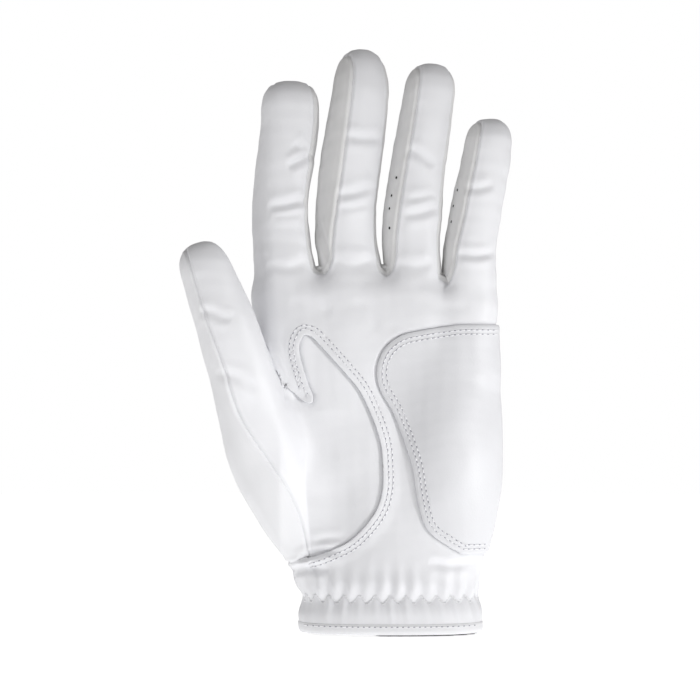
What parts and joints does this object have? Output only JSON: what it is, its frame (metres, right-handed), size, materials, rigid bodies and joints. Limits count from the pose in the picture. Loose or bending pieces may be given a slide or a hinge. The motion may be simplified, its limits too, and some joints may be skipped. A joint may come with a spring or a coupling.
{
  "type": "golf glove",
  "caption": "White leather golf glove for the left hand, standing on its cuff with bending fingers and thumb and a hook-and-loop wrist tab.",
  "frame": {"origin": "centre of the bounding box in plan, at the level of the cuff rim that the glove stands on", "axes": "+Z from the cuff to the fingertips, -Y out of the palm, -X towards the thumb"},
  "size_m": [0.125, 0.0546, 0.2204],
  "materials": {
    "palm_leather": "smooth soft cabretta-style leather, white, fine grain",
    "patch_leather": "smooth leather overlay, pale grey",
    "back_fabric": "soft synthetic leather, white",
    "fourchette_leather": "soft synthetic leather, white, fine perforation",
    "stretch_mesh": "knitted stretch mesh, white",
    "binding": "folded binding tape, white",
    "elastic": "woven elastic band, white",
    "dark_tape": "facing tape, near black",
    "hook": "moulded hook tape, white",
    "loop": "brushed loop tape, white",
    "thread": "polyester sewing thread, white"
  },
  "bodies": {
    "root": {"back_panel": "back_fabric", "cuff_facing": "dark_tape", "heel_patch": "patch_leather", "hem_binding": "binding", "index_fourchette_little_side_base": "fourchette_leather", "knuckle_stretch_band": "stretch_mesh", "little_fourchette_thumb_side_base": "fourchette_leather", "loop_pad": "loop", "middle_fourchette_little_side_base": "fourchette_leather", "middle_fourchette_thumb_side_base": "fourchette_leather", "palm_panel": "palm_leather", "ring_fourchette_little_side_base": "fourchette_leather", "ring_fourchette_thumb_side_base": "fourchette_leather", "tab_base": "back_fabric", "thumb_back_base": "back_fabric", "thumb_front_base": "palm_leather", "wrist_elastic": "elastic", "wrist_zigzag_thread": "thread"},
    "index_lower": {"index_back_lower": "back_fabric", "index_fourchette_little_side_lower": "fourchette_leather", "index_front_lower": "palm_leather"},
    "index_upper": {"index_back_upper": "back_fabric", "index_fourchette_little_side_upper": "fourchette_leather", "index_front_upper": "palm_leather"},
    "middle_lower": {"middle_back_lower": "back_fabric", "middle_fourchette_little_side_lower": "fourchette_leather", "middle_fourchette_thumb_side_lower": "fourchette_leather", "middle_front_lower": "palm_leather"},
    "middle_upper": {"middle_back_upper": "back_fabric", "middle_fourchette_little_side_upper": "fourchette_leather", "middle_fourchette_thumb_side_upper": "fourchette_leather", "middle_front_upper": "palm_leather"},
    "ring_lower": {"ring_back_lower": "back_fabric", "ring_fourchette_little_side_lower": "fourchette_leather", "ring_fourchette_thumb_side_lower": "fourchette_leather", "ring_front_lower": "palm_leather"},
    "ring_upper": {"ring_back_upper": "back_fabric", "ring_fourchette_little_side_upper": "fourchette_leather", "ring_fourchette_thumb_side_upper": "fourchette_leather", "ring_front_upper": "palm_leather"},
    "little_lower": {"little_back_lower": "back_fabric", "little_fourchette_thumb_side_lower": "fourchette_leather", "little_front_lower": "palm_leather"},
    "little_upper": {"little_back_upper": "back_fabric", "little_fourchette_thumb_side_upper": "fourchette_leather", "little_front_upper": "palm_leather"},
    "thumb_lower": {"thumb_back_lower": "back_fabric", "thumb_front_lower": "palm_leather"},
    "thumb_upper": {"thumb_back_upper": "back_fabric", "thumb_front_upper": "palm_leather"},
    "closure_tab": {"closure_tab": "back_fabric", "hook_pad": "hook"}
  },
  "joints": [
    {"name": "index_base_bend", "type": "hinge", "parent": "root", "child": "index_lower", "pos_m": [-0.02585, -0.00706, 0.1455], "axis": [1, 0, 0], "range_deg": [0, 60], "stiffness_Nm_per_rad": 0.03},
    {"name": "index_middle_bend", "type": "hinge", "parent": "index_lower", "child": "index_upper", "pos_m": [-0.02676, -0.00779, 0.1638], "axis": [1, 0, 0], "range_deg": [0, 70], "stiffness_Nm_per_rad": 0.03},
    {"name": "middle_base_bend", "type": "hinge", "parent": "root", "child": "middle_lower", "pos_m": [-0.00152, -0.00763, 0.146], "axis": [1, 0, 0], "range_deg": [0, 60], "stiffness_Nm_per_rad": 0.03},
    {"name": "middle_middle_bend", "type": "hinge", "parent": "middle_lower", "child": "middle_upper", "pos_m": [-0.00173, -0.00926, 0.168], "axis": [1, 0, 0], "range_deg": [0, 70], "stiffness_Nm_per_rad": 0.03},
    {"name": "ring_base_bend", "type": "hinge", "parent": "root", "child": "ring_lower", "pos_m": [0.02295, -0.00699, 0.146], "axis": [1, 0, 0], "range_deg": [0, 60], "stiffness_Nm_per_rad": 0.03},
    {"name": "ring_middle_bend", "type": "hinge", "parent": "ring_lower", "child": "ring_upper", "pos_m": [0.02342, -0.0079, 0.1655], "axis": [1, 0, 0], "range_deg": [0, 70], "stiffness_Nm_per_rad": 0.03},
    {"name": "little_base_bend", "type": "hinge", "parent": "root", "child": "little_lower", "pos_m": [0.04537, -0.00618, 0.142], "axis": [1, 0, 0], "range_deg": [0, 60], "stiffness_Nm_per_rad": 0.03},
    {"name": "little_middle_bend", "type": "hinge", "parent": "little_lower", "child": "little_upper", "pos_m": [0.04839, -0.00704, 0.1605], "axis": [1, 0, 0], "range_deg": [0, 70], "stiffness_Nm_per_rad": 0.03},
    {"name": "thumb_base_bend", "type": "hinge", "parent": "root", "child": "thumb_lower", "pos_m": [-0.0416, -0.02355, 0.09896], "axis": [0.9391, 0, 0.3437], "range_deg": [0, 35], "stiffness_Nm_per_rad": 0.03},
    {"name": "thumb_tip_bend", "type": "hinge", "parent": "thumb_lower", "child": "thumb_upper", "pos_m": [-0.04738, -0.02605, 0.11602], "axis": [0.9391, 0, 0.3437], "range_deg": [0, 50], "stiffness_Nm_per_rad": 0.03},
    {"name": "closure_tab_peel", "type": "hinge", "parent": "root", "child": "closure_tab", "pos_m": [-0.00259, 0.02467, 0.02159], "axis": [0, 0, 1], "range_deg": [0, 100], "stiffness_Nm_per_rad": 0.01}
  ]
}
